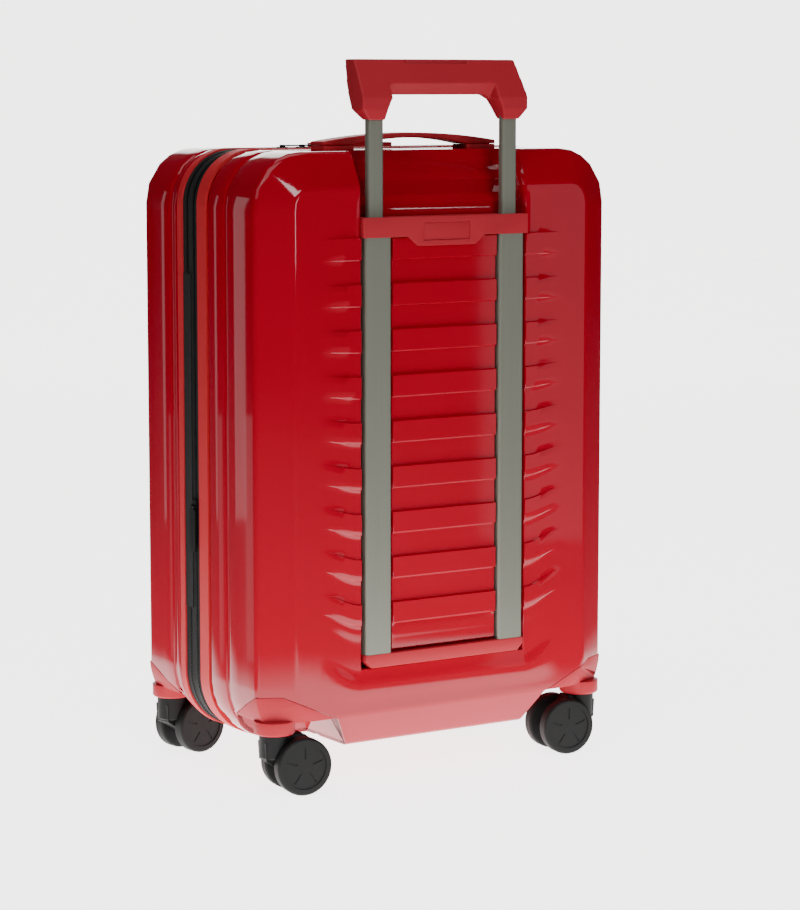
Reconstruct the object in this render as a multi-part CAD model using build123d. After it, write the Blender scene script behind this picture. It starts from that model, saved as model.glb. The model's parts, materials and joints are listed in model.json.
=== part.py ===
from build123d import *
import os

# Cabin trolley case: two ribbed hard shells that meet at a zipped fabric band, a three-stage
# pull handle let into the back shell, and four twin-wheel swivel casters.
# X runs across the width, the pull handle is on the -Y side, Z is up and the floor is z = 0.

os.makedirs("parts", exist_ok=True)

# ---- the case, mm ----
case_width = 360.0          # across both shells
case_top = 545.0            # top of the shells above the floor
case_belly = 34.0           # lowest face of the shells above the floor
half_depth = 112.0          # from the middle of the case to each flat face
corner_top = 47.0           # outline radius of the upper corners
corner_low = 55.0           # outline radius of the lower corners
corner_least = 4.0
band_inset = 30.0           # sloping band round each flat face, seen face on
band_depth = 15.6           # and how far it leans in
shell_wall = 2.5
lining_wall = 0.8
lining_room = 2.3           # between a shell's wall and its lining
lining_band = 2.0           # how much nearer to the shell it runs on the sloping band
lining_short = (2.0, -3.0)  # linings past each rim
small_gap = 0.3             # between pieces that move past each other
press_gap = 0.1             # round a piece that is let into a shell

# ---- the zipped band between the halves, as stations along Y ----
back_rim = 0.0              # end of the back welt
front_rim = 27.0            # start of the front welt
rim_gap = 0.6               # shell edge behind its welt
welt_width = 15.3           # back welt
front_welt_width = 8.0
welt_step = 2.3             # groove beside each welt
welt_step_depth = 0.8
welt_proud = 0.8
welt_sink = 1.6
wall_groove = (-51.2, -44.3, 1.6)   # start, end and depth of the groove in each wall
expander_plane = 8.0        # expander zip teeth
zip_plane = 19.5            # main zip teeth, where the case opens
zip_gap = 0.6               # between the two tapes of a zip
tape_sink = 0.8
tape_thick = 1.4
sleeve_room = 0.9           # the folded gusset behind the band
sleeve_thick = 0.8
sleeve_start = -26.0
seam = 1.0                  # width of a sewn seam

# ---- wheel corners ----
caster_inset = 20.0         # swivel axis in from the side and from the flat face
guard_reach = (52.0, 45.0)  # how far each guard tapers out, along the face and along the side
guard_wall = 3.5
guard_height = 24.0         # from its underside to its top
guard_back = 2.0            # level top edge beyond the swivel axis, along the side
well_reach = 20.0           # how far each well runs on past the guard's tip
well_shoulder = 30.0        # height where the well starts to narrow
boss_radius = 17.5
boss_height = 10.5
boss_chamfer = 1.5
boss_post = (8.0, 12.0)     # radius and length of the thick part inside the guard
wheel_radius = 25.0
wheel_width = 11.4
wheel_outer = 20.0          # outer face of each wheel from the caster's middle plane
wheel_room = 2.5            # above the wheels, below the boss
wheel_edge = 2.2
tyre_thick = 5.5
hub_sink = 0.8
spokes = 5
spoke_groove = (1.6, 1.2, 9.75, 12.09)   # width, depth, length and distance from the axle
caster_trail = 20.0
stem_radius = 4.0
stem_length = 24.0          # inside the housing
stem_end = 11.0             # above the underside of the guard
axle_radius = 3.0
axle_sink = 1.6
shaft_gap = 0.05            # radial clearance of a running shaft
housing_radius = 13.3
housing_height = 20.5
housing_chamfer = 1.2
arm_back, arm_front, arm_inset, arm_end = 9.0, 8.0, 2.3, 1.3   # the arm round the axle
arm_fall, arm_shoulder = 1.5, 6.2
wheel_clear = 1.0
caster_turns = {"back_left": -7.0, "back_right": -7.5, "front_left": 10.0, "front_right": 6.0}

# ---- pull handle ----
tube_x = 68.4
tube_sink = 5.5             # middle of the tubes behind the flat face
outer_tube = (26.0, 15.0, 1.2)   # width, depth, wall
bush_side = 1.5             # guide bushes at the sides of a tube
bush_faces = (1.0, 0.5)     # and at its faces, lower and upper
bush_length = 24.0
bush_fit = 0.1
middle_wall = 1.1
inner_wall = 1.0
tube_corner, bore_corner = 2.4, 1.2
slot_sides = (1.8, 3.1)     # room beside a tube, towards the middle and outwards
slot_depth = 14.5
bar_low = 103.2             # base bar
bar_top = 114.7
bar_proud = 2.5
bar_depth = 10.5
bar_seat = 8.0              # depth of its seat in the shell
bar_sides = (13.6, 7.6)     # ends beyond the tubes, above and below its corners
bar_corner = 6.0
spigot = (5.0, 4.0)         # how much smaller than the tube, and its height
stop_gap = 4.0              # between the ends of neighbouring stages, pushed down
first_gap = 6.0
bezel_drop = 55.7           # top of the bezel below the top of the case
bezel_height = 17.0
bezel_proud = 3.5
bezel_bump = (8.0, 39.0, 29.0)   # height, half width where it starts and at its foot
bezel_round = 1.5
plate_half, plate_low, plate_high = 23.6, 3.4, 11.4   # badge plate, heights from the bezel's edge
plate_thick = 1.1
plate_sink = 0.5
seat_gap = 0.5
bar_room = 2.0
bezel_overlap = 8.0         # bezel over the outer tubes
pocket_depth = 33.5         # grip pocket behind the flat face
pocket_steps = ((3.0, 11.7), (12.0, 17.7), (12.0, 30.7), (19.0, 36.7))  # in from the slot floor, up
handle_drop = 77.0          # how far the grip still has to go down
grip_fall = 51.0            # from the top of the grip to the ends of its legs
grip_outer = ((13.6, 0.0), (15.8, -30.0), (15.8, -42.0), (8.1, -51.0))    # out from the tube, down
grip_inner = ((-7.9, -51.0), (-9.9, -42.0), (-13.4, -34.0), (-20.4, -30.0))
grip_side = ((-0.4, -51.0), (-2.6, -42.0), (-2.6, -32.0), (-0.5, -27.0), (15.5, 0.0), (30.5, 0.0),
             (24.8, -22.0), (15.4, -44.0), (10.6, -51.0))   # from the flat face, down
grip_slope = ((3.0, -19.0), (10.5, -30.0), (10.5, -62.0))   # slope under the cross bar
grip_slope_inset = 14.4
tube_entry = 12.0           # inner tube inside the grip
button_travel = 4.0
button_half = 31.5
button_height = 8.0
button_y = (14.4, 26.8)     # front and back of the button, from the flat face
button_pocket_y = (13.8, 28.0)
button_gap = 0.2
button_round = 1.2
post_half = 20.0
post_y = (14.8, 16.8)
yoke_drop = 16.4            # top of the yoke below the top of the grip
yoke_thick = 4.0
yoke_foot_drop = 28.0
yoke_y = (8.5, 17.0)
yoke_in, yoke_out, yoke_arm = 8.4, 3.6, 4.0   # lower blocks beside each tube's middle
yoke_block = 6.0
yoke_back = 1.5
rod_radius = 1.75
rod_gap = 0.4
rod_foot = 6.0              # above the latch
rod_top = 3.0
grip_rod = (0.5, 24.0)      # room round the rods inside the grip
latch_rise = 8.0            # latch above the foot of the inner tube
latch_radius, latch_gap, latch_depth, latch_length = 1.5, 0.1, 2.6, 4.4
latch_sink = 0.2
latch_block_height = 16.0

# ---- top carry handle ----
carry_y = -47.0
carry_half = 89.0
carry_width = 22.0
carry_thick = 4.4
carry_end = 3.4
carry_rise = 6.0            # how much higher the middle is than the ends
bracket_height = 3.5
bracket_inner = 58.0
bracket_width = 24.0
bracket_round = 2.0
bracket_end = 0.5
plug_inset = (1.4, 2.0, 1.2)    # plug in from the bracket: inner end, outer end, sides
plug_through = 0.5
tongue_inset = (10.0, 6.0)
tongue_half = 8.0
tongue_depth = 3.7

# ---- combination lock beside the main zip, on the front half ----
lock_half = 41.0
lock_y = 43.2
lock_width = 15.0
lock_proud = 4.0
lock_round = 2.5
lock_plug_inset = (1.5, 1.2)
lock_through = 1.1
dial_x = (-16.0, -8.0, 0.0)
dial_radius = 5.4
dial_width = 4.6
dial_proud = 1.2
dial_room = (0.35, 0.4)
dial_notches, dial_notch = 10, 0.45
dial_shaft, dial_shaft_end = 1.0, 6.0
release_x = 20.0
release_slot = (6.0, 10.0, 3.3, 2.0)    # left, right, half width, depth
release_size = (5.7, 4.7, 3.0, 1.9)
release_proud = 0.9

# ---- zip sliders ----
main_slider_x = (-84.0, -64.0)
main_slider_size = (9.0, 8.0)
main_tab = (17.0, 6.0)
expander_slider_z = 237.0
expander_slider_size = (11.0, 8.0)
expander_tab = (40.0, 9.0)
slider_thick, slider_lift, slider_round = 2.0, 0.2, 1.6
foot_sides, foot_width = 1.0, 1.6
ear_x, ear_width, ear_y, ear_top = 2.4, 1.0, 2.6, 0.8
tab_pin = 3.3               # height of a tab's pin above the tape
tab_pin_radius = 0.45
tab_pin_length = 5.2
tab_thick = 1.2
tab_neck = 3.6
tab_shoulder = 2.4
tab_eye = 0.9
tab_round = 1.4
hinge_low = 147.0           # fabric hinge between the halves
hinge_drop = 106.0          # its upper end below the top of the case
hinge_width = 6.0

# ---- ribs on the flat faces ----
rib_drop = 38.5             # upper edge of the highest raised band below the bezel
rib_pitch = 39.2
rib_height = 19.8
rib_proud = 1.8
rib_floor = 128.0           # no band reaches below this
rib_margin = 26.0           # from the ends of the bands to the sloping band
rib_side_gaps = (1.6, 2.0)  # from the bands to the tube slots

# ---- inside ----
strap_width, strap_thick, strap_turn = 32.0, 1.2, 32.0
strap_short = 181.0         # how much shorter than the case is tall
buckle_half, buckle_thick, buckle_round = (24.0, 22.0), 8.0, 8.0
pocket_margin = (60.0, 116.0, 145.0)   # from the sides, from the belly and from the top
pocket_thick, pocket_round = 2.4, 12.0

# ---- what follows from them ----
half_width = case_width / 2
band_y = half_depth - band_depth
through_wall = shell_wall + welt_sink
lining_gap = through_wall + lining_room
sleeve_inset = through_wall + sleeve_room
caster_x = half_width - caster_inset
caster_y = half_depth - caster_inset
guard_tip_x = caster_x - guard_reach[0]
guard_tip_y = caster_y - guard_reach[1]
boss_low = 2 * wheel_radius + wheel_room
guard_floor = boss_low + boss_height
guard_top = guard_floor + guard_height
housing_top = boss_low - small_gap
housing_low = housing_top - housing_height
tube_y = -half_depth + tube_sink
middle_tube = (outer_tube[0] - 2 * (outer_tube[2] + bush_side),
               outer_tube[1] - 2 * (outer_tube[2] + bush_faces[0]), middle_wall)
inner_tube = (middle_tube[0] - 2 * (middle_wall + bush_side),
              middle_tube[1] - 2 * (middle_wall + bush_faces[1]), inner_wall)
slot_inner = tube_x - outer_tube[0] / 2 - slot_sides[0]
slot_outer = tube_x + outer_tube[0] / 2 + slot_sides[1]
slot_floor = -half_depth + slot_depth
bezel_top = case_top - bezel_drop
bezel_low = bezel_top - bezel_height
bezel_face = -half_depth - bezel_proud
pocket_back = -half_depth + pocket_depth
grip_top = case_top + handle_drop
grip_leg = grip_top - grip_fall
outer_top = bezel_low + bezel_overlap
middle_low, middle_top = bar_top + first_gap, bezel_top - rim_gap
inner_low = bar_top + first_gap + stop_gap + handle_drop
inner_top = grip_leg + tube_entry
yoke_top = grip_top - yoke_drop
yoke_foot = grip_top - yoke_foot_drop
button_floor = grip_top - button_height - button_travel
latch_z = inner_low + latch_rise
dial_z = case_top + lock_proud - dial_radius + dial_proud
rib_top = bezel_low - rib_drop
rib_count = int((rib_top - rib_height - rib_floor) / rib_pitch) + 1
rib_reach = half_width - band_inset - rib_margin
middle_height = (case_top + case_belly) / 2
inner_floor = slot_floor + shell_wall + lining_wall     # inside face of the back lining
far = 400.0 + case_top      # longer than anything that it cuts


def face_plane(y):
    """A drawing plane that faces -Y, with local x to +X and local y to +Z."""
    return Plane(origin=(0, y, 0), x_dir=(1, 0, 0), z_dir=(0, -1, 0))


def side_plane(x):
    """A drawing plane that faces +X, with local x to +Y and local y to +Z."""
    return Plane(origin=(x, 0, 0), x_dir=(0, 1, 0), z_dir=(1, 0, 0))


def block(x0, x1, y0, y1, z0, z1):
    """A box between two corners."""
    return Pos((x0 + x1) / 2, (y0 + y1) / 2, (z0 + z1) / 2) * Box(x1 - x0, y1 - y0, z1 - z0)


def outline(inset, y):
    """The rounded outline of the case on the plane at y, drawn inside it by inset."""
    width = case_width - 2 * inset
    height = case_top - case_belly - 2 * inset
    sheet = Pos(0, (case_top + case_belly) / 2) * Rectangle(width, height)
    sheet = fillet(sheet.vertices().group_by(Axis.Y)[-1], max(corner_top - inset, corner_least))
    sheet = fillet(sheet.vertices().group_by(Axis.Y)[0], max(corner_low - inset, corner_least))
    return face_plane(y) * sheet


def along_y(sheet, length):
    return extrude(sheet, amount=length, dir=(0, 1, 0))


def ring(outer_inset, inner_inset, y0, y1):
    """A band that follows the outline of the case."""
    return along_y(outline(outer_inset, y0), y1 - y0) - along_y(outline(inner_inset, y0 - 1), y1 - y0 + 2)


def body(inset, sink, mouth):
    """One closed half of the case on the -Y side, up to the plane at y = mouth."""
    edge = -band_y + sink / 2
    barrel = along_y(outline(inset, edge), mouth - edge)
    lid = loft([outline(inset, edge), outline(inset + band_inset, -half_depth + sink)], ruled=True)
    return barrel + lid


def wheel_zone(side_x, side_y, grow):
    """The corner that the guard and caster take out of the case; grow widens it on the inside."""
    across = Polyline((guard_tip_x - well_reach, 0), (guard_tip_x - well_reach, well_shoulder),
                      (guard_tip_x, guard_floor), (caster_x, guard_top), (far, guard_top), (far, 0),
                      close=True)
    along = Polyline((guard_tip_y - well_reach, 0), (guard_tip_y - well_reach, well_shoulder),
                     (guard_tip_y, guard_floor), (caster_y + guard_back, guard_top),
                     (far, guard_top), (far, 0), close=True)
    wide = Pos(-grow, grow - 1) * make_face(across)
    deep = Pos(-grow, grow - 1) * make_face(along)
    first = along_y(face_plane(0) * wide, far)
    second = extrude(side_plane(0) * deep, amount=far, dir=(1, 0, 0))
    zone = first & second
    if side_x < 0:
        zone = mirror(zone, about=Plane.YZ)
    if side_y < 0:
        zone = mirror(zone, about=Plane.XZ)
    return zone


def wheel_zones(side_y, grow):
    return [wheel_zone(side_x, side_y, grow) for side_x in (-1, 1)]


def shell_grooves(start):
    """Two shallow grooves that run round the wall of a half, for a half on the -Y side."""
    y0, y1, depth = wall_groove
    return [ring(-1, depth, y0, y1), ring(-1, welt_step_depth, start - welt_step, start)]


def rib_bands(reach, gap):
    """Raised bands across a flat face on the -Y side, outside gap on each side of the middle."""
    bands = []
    for step in range(rib_count):
        high = rib_top - step * rib_pitch
        if gap:
            for side in (-1, 1):
                x0, x1 = sorted((side * gap, side * reach))
                bands.append(block(x0, x1, -half_depth - rib_proud, -half_depth + 1,
                                   high - rib_height, high))
        else:
            bands.append(block(-reach, reach, -half_depth - rib_proud, -half_depth + 1,
                               high - rib_height, high))
    return bands


def recesses(grow):
    """The tube slots, the bezel and bar seats and the grip pocket; grow widens them."""
    cuts = []
    for side in (-1, 1):
        x0, x1 = sorted((side * (slot_inner - grow), side * (slot_outer + grow)))
        cuts.append(block(x0, x1, -far, slot_floor + grow, bar_low - 2 * seat_gap - grow, bezel_top))
    wide = slot_outer + 2 * seat_gap + grow
    cuts.append(block(-wide, wide, -far, -half_depth + bar_seat + grow, bar_low - seat_gap - grow,
                      bar_top + bar_room + grow))
    cuts.append(block(-wide, wide, -far, slot_floor + grow, bezel_low - seat_gap - grow, bezel_top))
    bump = bezel_bump[1] + 2 * seat_gap + grow
    cuts.append(block(-bump, bump, -far, slot_floor + grow, bezel_low - bezel_bump[0] - seat_gap - grow,
                      bezel_top))
    return cuts + [grip_pocket(grow)]


def grip_pocket(grow):
    """The stepped well in the top of the back shell that the grip drops into."""
    wide = slot_outer + 2 * seat_gap + grow
    steps = [(slot_floor + pocket_steps[0][0] + grow, bezel_top - grow)]
    steps += [(slot_floor + y + grow, bezel_top + z) for y, z in pocket_steps]
    shape = Polyline((-far, bezel_top - grow), *steps, (pocket_back + grow, far), (-far, far), close=True)
    return extrude(side_plane(-wide) * make_face(shape), amount=2 * wide, dir=(1, 0, 0))


def make_back_shell():
    rim = back_rim - rim_gap
    start = back_rim - welt_width - welt_step
    outer = body(0, 0, start)
    outer += along_y(outline(welt_sink, start - 1), rim - start + 1)
    outer += rib_bands(slot_inner - rib_side_gaps[0], 0)
    outer += rib_bands(rib_reach, slot_outer + rib_side_gaps[1])
    outer -= shell_grooves(start + press_gap)
    outer -= wheel_zones(-1, 0)
    outer -= recesses(0)
    hollow = body(through_wall, shell_wall, far)
    hollow -= wheel_zones(-1, shell_wall)
    hollow -= recesses(shell_wall)
    return outer - hollow


def make_front_shell():
    """Made on the -Y side and then turned to the front."""
    rim = -front_rim - rim_gap
    start = -front_rim - front_welt_width - welt_step
    outer = body(0, 0, start)
    outer += along_y(outline(welt_sink, start - 1), rim - start + 1)
    outer += rib_bands(rib_reach, 0)
    outer -= shell_grooves(start + press_gap)
    outer -= wheel_zones(-1, 0)
    hollow = body(through_wall, shell_wall, far)
    hollow -= wheel_zones(-1, shell_wall)
    return mirror(outer - hollow, about=Plane.XZ)


def make_lining(floor_sink, mouth, grow):
    """A fabric tray on the -Y side whose floor lies floor_sink inside the flat face."""
    outer = along_y(outline(lining_gap, -half_depth + floor_sink), mouth + half_depth - floor_sink)
    inner = along_y(outline(lining_gap + lining_wall, -half_depth + floor_sink + lining_wall),
                    mouth + half_depth - floor_sink)
    band = body(lining_gap - lining_band, floor_sink, far)
    band_inner = body(lining_gap - lining_band + lining_wall, floor_sink + lining_wall, far)
    tray = (outer & band) - wheel_zones(-1, grow)
    space = (inner & band_inner) - wheel_zones(-1, grow + lining_wall)
    return tray, space


def make_back_lining():
    tray, space = make_lining(slot_depth + shell_wall, back_rim - lining_short[0], shell_wall + seam)
    pocket = grip_pocket(shell_wall + small_gap)
    pocket_inner = grip_pocket(shell_wall + small_gap + lining_wall)
    return (tray - pocket) - (space - pocket_inner)


def make_front_lining():
    tray, space = make_lining(shell_wall, -front_rim - lining_short[1], shell_wall + seam)
    return mirror(tray - space, about=Plane.XZ)


def make_guard(side_x, side_y):
    """A corner guard with the boss that carries the caster's stem."""
    half = body(0, 0, 0)
    if side_y > 0:
        half = mirror(half, about=Plane.XZ)
    inside = body(guard_wall, guard_wall, 0)
    if side_y > 0:
        inside = mirror(inside, about=Plane.XZ)
    zone = wheel_zone(side_x, side_y, -small_gap)
    skin = (half & zone) - block(-far, far, -far, far, -far, guard_floor)
    hollow = inside - block(-far, far, -far, far, -far, guard_floor + guard_wall)
    guard = skin - hollow
    x, y = side_x * caster_x, side_y * caster_y
    boss = Pos(x, y, boss_low + (boss_height + 1) / 2) * Cylinder(boss_radius, boss_height + 1)
    boss = chamfer(boss.edges().group_by(Axis.Z)[0], boss_chamfer)
    guard += boss
    guard += Pos(x, y, guard_floor + boss_post[1] / 2) * Cylinder(*boss_post)
    guard -= Pos(x, y, guard_floor) * Cylinder(stem_radius + shaft_gap, far)
    return guard


def caster_frame(name):
    """Where a caster turns: its swivel axis, with local -x along its trail."""
    side_x = 1 if "right" in name else -1
    side_y = 1 if "front" in name else -1
    turn = caster_turns[name] + (0 if side_x > 0 else 180)
    return Pos(side_x * caster_x, side_y * caster_y, 0) * Rot(0, 0, turn)


def y_cylinder(x, z, radius, y0, y1):
    """A cylinder along Y between two stations."""
    return Pos(x, (y0 + y1) / 2, z) * Rot(90, 0, 0) * Cylinder(radius, y1 - y0)


def make_caster_bracket():
    """Housing and axle arm, with the swivel axis on Z and the wheels towards local -x."""
    inner_face = wheel_outer - wheel_width
    arm_half = inner_face - small_gap
    housing = Pos(0, 0, housing_top - housing_height / 2) * Cylinder(housing_radius, housing_height)
    housing = chamfer(housing.edges().group_by(Axis.Z)[0], housing_chamfer)
    arm = Plane.XZ * make_face(Polyline(
        (-caster_trail - arm_back, wheel_radius - arm_back + 1),
        (-caster_trail + arm_front, wheel_radius - arm_front - arm_fall),
        (housing_radius - arm_inset, housing_low - arm_fall),
        (housing_radius - arm_end, housing_top - arm_shoulder),
        (-housing_radius - 1, housing_top - 1), (-caster_trail - arm_back, wheel_radius + arm_back),
        close=True))
    bracket = housing + extrude(arm, amount=arm_half, both=True)
    for side in (-1, 1):
        y0, y1 = sorted((side * (arm_half + shaft_gap), side * far))
        bracket -= y_cylinder(-caster_trail, wheel_radius, wheel_radius + wheel_clear, y0, y1)
    bracket -= Pos(0, 0, housing_top - stem_length / 2) * Cylinder(stem_radius, stem_length + shaft_gap)
    bracket -= y_cylinder(-caster_trail, wheel_radius, axle_radius, -far, far)
    return bracket


def make_caster_pins():
    """The steel stem and the axle, each its own solid."""
    foot, head = housing_top - stem_length, guard_floor + stem_end
    stem = Pos(0, 0, (foot + head) / 2) * Cylinder(stem_radius, head - foot)
    reach = wheel_outer - axle_sink
    axle = y_cylinder(-caster_trail, wheel_radius, axle_radius, -reach, reach)
    return [stem, axle]


def make_wheel(side):
    """A tyre and its hub with five spokes in relief, on the side of the caster that side says."""
    inner, outer = wheel_outer - wheel_width, wheel_outer
    hub_radius = wheel_radius - tyre_thick
    tyre = y_cylinder(0, 0, wheel_radius, inner, outer)
    tyre = fillet(tyre.edges().filter_by(GeomType.CIRCLE), wheel_edge)
    tyre -= y_cylinder(0, 0, hub_radius, inner - 1, outer + 1)
    hub = y_cylinder(0, 0, hub_radius, inner, outer - hub_sink)
    hub -= y_cylinder(0, 0, axle_radius + shaft_gap, inner - 1, outer - axle_sink + press_gap)
    wide, deep, long, out = spoke_groove
    for spoke in range(spokes):
        groove = Pos(0, outer - hub_sink, 0) * Rot(0, 360 / spokes * spoke, 0) * Pos(0, 0, out)
        hub -= groove * Box(wide, deep, long)
    pieces = [tyre, hub]
    if side < 0:
        pieces = [mirror(p, about=Plane.XZ) for p in pieces]
    return [Pos(-caster_trail, 0, wheel_radius) * p for p in pieces]


def tube(size, z0, z1, side):
    width, depth, wall = size
    solid = Pos(side * tube_x, tube_y, (z0 + z1) / 2) * Box(width, depth, z1 - z0)
    solid = fillet(solid.edges().filter_by(Axis.Z), tube_corner)
    bore = Pos(side * tube_x, tube_y, (z0 + z1) / 2) * Box(width - 2 * wall, depth - 2 * wall, z1 - z0 + 2)
    return solid - fillet(bore.edges().filter_by(Axis.Z), bore_corner)


def collar(outside, inside, z0, z1, side):
    """A guide bush that fits the bore of one tube and lets the next one slide."""
    middle = Pos(side * tube_x, tube_y, (z0 + z1) / 2)
    outer = middle * Box(outside[0] - 2 * outside[2] - bush_fit, outside[1] - 2 * outside[2] - bush_fit,
                         z1 - z0)
    outer = fillet(outer.edges().filter_by(Axis.Z), bore_corner)
    inner = middle * Box(inside[0] + 2 * bush_fit, inside[1] + 2 * bush_fit, z1 - z0 + 2)
    return outer - fillet(inner.edges().filter_by(Axis.Z), tube_corner)


def make_bezel():
    """The cover plate over the tube mouths, with a seat for its badge plate."""
    fall, start, foot = bezel_bump
    profile = Polyline((-slot_outer, bezel_low), (-start, bezel_low), (-foot, bezel_low - fall),
                       (foot, bezel_low - fall), (start, bezel_low), (slot_outer, bezel_low),
                       (slot_outer, bezel_top), (-slot_outer, bezel_top), close=True)
    plate = along_y(face_plane(bezel_face) * make_face(profile), slot_floor - bezel_face)
    plate = fillet(plate.edges().filter_by(Axis.Y), bezel_round)
    plate -= badge_plate(press_gap)
    for side in (-1, 1):
        hole = Pos(side * tube_x, tube_y, bezel_top) * Box(
            middle_tube[0] + 2 * small_gap, middle_tube[1] + 2 * small_gap, far)
        seat = Pos(side * tube_x, tube_y, outer_top - bezel_height) * Box(*outer_tube[:2], 2 * bezel_height)
        plate -= fillet(hole.edges().filter_by(Axis.Z), tube_corner)
        plate -= fillet(seat.edges().filter_by(Axis.Z), tube_corner)
    return plate


def badge_plate(spare):
    """The blank badge plate let into the bezel; spare makes room for it."""
    half = plate_half + spare
    front = bezel_face + plate_sink - (1 + plate_sink if spare else 0)
    return block(-half, half, front, bezel_face + plate_sink + plate_thick,
                 bezel_low - plate_low - spare, bezel_low + plate_high + spare)


def make_base_bar():
    end, foot = tube_x + bar_sides[0], tube_x + bar_sides[1]
    profile = Polyline((-end, bar_top), (-end, bar_low + bar_corner), (-foot, bar_low), (foot, bar_low),
                       (end, bar_low + bar_corner), (end, bar_top), close=True)
    bar = along_y(face_plane(-half_depth - bar_proud) * make_face(profile), bar_depth)
    less, tall = spigot
    for side in (-1, 1):
        bar += Pos(side * tube_x, tube_y, bar_top + tall / 2) * Box(
            outer_tube[0] - less, outer_tube[1] - less, tall)
    return bar


def make_grip():
    """The grip: a bar between two legs, leaning back to follow the band of the shell."""
    outer = [(button_half, grip_top)] + [(tube_x + x, grip_top + z) for x, z in grip_outer]
    inner = [(tube_x + x, grip_top + z) for x, z in grip_inner]
    right = outer + inner
    left = [(-x, z) for x, z in reversed(right)]
    front_view = along_y(face_plane(-far) * make_face(Polyline(*right, *left, close=True)), 2 * far)
    side_view = Polyline(*[(-half_depth + y, grip_top + z) for y, z in grip_side], close=True)
    side_view = extrude(side_plane(-far) * make_face(side_view), amount=2 * far, dir=(1, 0, 0))
    grip = front_view & side_view
    edges = [(-half_depth + y, grip_top + z) for y, z in grip_slope]
    slope = Polyline((-far, edges[0][1]), *edges, (-far, edges[-1][1]), close=True)
    reach = tube_x - grip_slope_inset
    grip -= extrude(side_plane(-reach) * make_face(slope), amount=2 * reach, dir=(1, 0, 0))
    half = button_half + button_gap
    grip -= block(-half, half, *from_face(button_pocket_y), button_floor - button_gap, far * 2)
    half = post_half + small_gap
    front, back = from_face(post_y)
    grip -= block(-half, half, front - small_gap, back + small_gap, yoke_top - 1, far * 2)
    grip -= yoke_parts(small_gap, button_travel + small_gap)
    for side in (-1, 1):
        seat = Pos(side * tube_x, tube_y, inner_top - grip_fall) * Box(*inner_tube[:2], 2 * grip_fall)
        grip -= fillet(seat.edges().filter_by(Axis.Z), tube_corner)
        grip -= Pos(side * tube_x, tube_y, inner_top) * Cylinder(rod_radius + grip_rod[0], grip_rod[1])
    return grip


def from_face(stations):
    """Y stations of distances behind the flat face."""
    return [-half_depth + distance for distance in stations]


def make_grip_button():
    """The thumb button with its post."""
    cap = block(-button_half, button_half, *from_face(button_y), grip_top - button_height, grip_top)
    cap = fillet(cap.edges().group_by(Axis.Z)[-1], button_round)
    return cap + block(-post_half, post_half, *from_face(post_y), yoke_top, grip_top - button_height + 1)


def yoke_parts(spare, drop):
    """The cross bar with a lower block over each tube; spare and drop make room for it to move."""
    inside, outside = tube_x - yoke_in, tube_x + yoke_out
    front, back = from_face(yoke_y)
    shape = block(-inside - yoke_arm - spare, inside + yoke_arm + spare, front - spare, back + spare,
                  yoke_top - yoke_thick - drop, yoke_top + spare)
    for side in (-1, 1):
        x0, x1 = sorted((side * (inside - spare), side * (outside + spare)))
        shape += block(x0, x1, tube_y - rod_radius - spare, back - yoke_back + spare,
                       yoke_foot - drop, yoke_foot + yoke_block + spare)
        x0, x1 = sorted((side * (inside - spare), side * (inside + yoke_arm + spare)))
        shape += block(x0, x1, front - spare, back - yoke_back + spare, yoke_foot - drop, yoke_top + spare)
    return shape


def make_push_yoke():
    """The bar under the button, with a rod down each inner tube."""
    yoke = yoke_parts(0, 0)
    foot, head = latch_z + rod_foot, yoke_foot + rod_top
    for side in (-1, 1):
        yoke += Pos(side * tube_x, tube_y, (foot + head) / 2) * Cylinder(rod_radius, head - foot)
    return yoke


def make_inner_tube(side):
    """The upper tube, with the hole that its latch pin comes out of."""
    return tube(inner_tube, inner_low, inner_top, side) - latch_bore(side)


def latch_bore(side):
    bore = y_cylinder(0, latch_z, latch_radius + latch_gap, -far, tube_y + latch_depth)
    return Pos(side * tube_x, 0, 0) * bore


def make_latch_block(side):
    """The plug in the foot of the inner tube that guides the latch pin and the rod."""
    width, depth, wall = inner_tube
    height = latch_block_height
    plug = Box(width - 2 * wall, depth - 2 * wall, height)
    plug = Pos(side * tube_x, tube_y, inner_low + height / 2) * plug
    plug = fillet(plug.edges().filter_by(Axis.Z), bore_corner)
    plug -= Pos(side * tube_x, tube_y, latch_z + rod_foot) * Cylinder(rod_radius + rod_gap, 2 * rod_foot)
    return plug - latch_bore(side)


def make_latch_pin(side):
    tip = tube_y - inner_tube[1] / 2 + latch_sink
    return Pos(side * tube_x, 0, 0) * y_cylinder(0, latch_z, latch_radius, tip, tip + latch_length)


def make_carry_handle():
    """The low moulded grip strap, with a tongue at each end that slides in its bracket."""
    low = case_top + bracket_height + small_gap
    crown = low + carry_rise
    high = low + carry_end
    loop = [ThreePointArc((-carry_half, high), (0, crown + carry_thick), (carry_half, high)),
            Line((carry_half, high), (carry_half, low)), Line((carry_half, low), (bracket_inner, low)),
            ThreePointArc((bracket_inner, low), (0, crown), (-bracket_inner, low)),
            Line((-bracket_inner, low), (-carry_half, low)), Line((-carry_half, low), (-carry_half, high))]
    profile = face_plane(carry_y - carry_width / 2) * make_face(loop)
    strap = along_y(profile, carry_width)
    for side in (-1, 1):
        strap += tongue(side, 0)
    return strap


def tongue(side, spare):
    """The end of the carry handle that goes down into the bracket, or the slot it needs."""
    x0, x1 = sorted((side * (carry_half - tongue_inset[0] - spare),
                     side * (carry_half - tongue_inset[1] + spare)))
    half = tongue_half + spare
    return block(x0, x1, carry_y - half, carry_y + half, case_top - tongue_depth - spare,
                 case_top + bracket_height + 1)


def bracket_plug(side, spare):
    x0, x1 = sorted((side * (bracket_inner + plug_inset[0] - spare),
                     side * (carry_half - plug_inset[1] + spare)))
    half = bracket_width / 2 - plug_inset[2] + spare
    return block(x0, x1, carry_y - half, carry_y + half, case_top - through_wall - plug_through,
                 case_top + bracket_height / 2)


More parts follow.
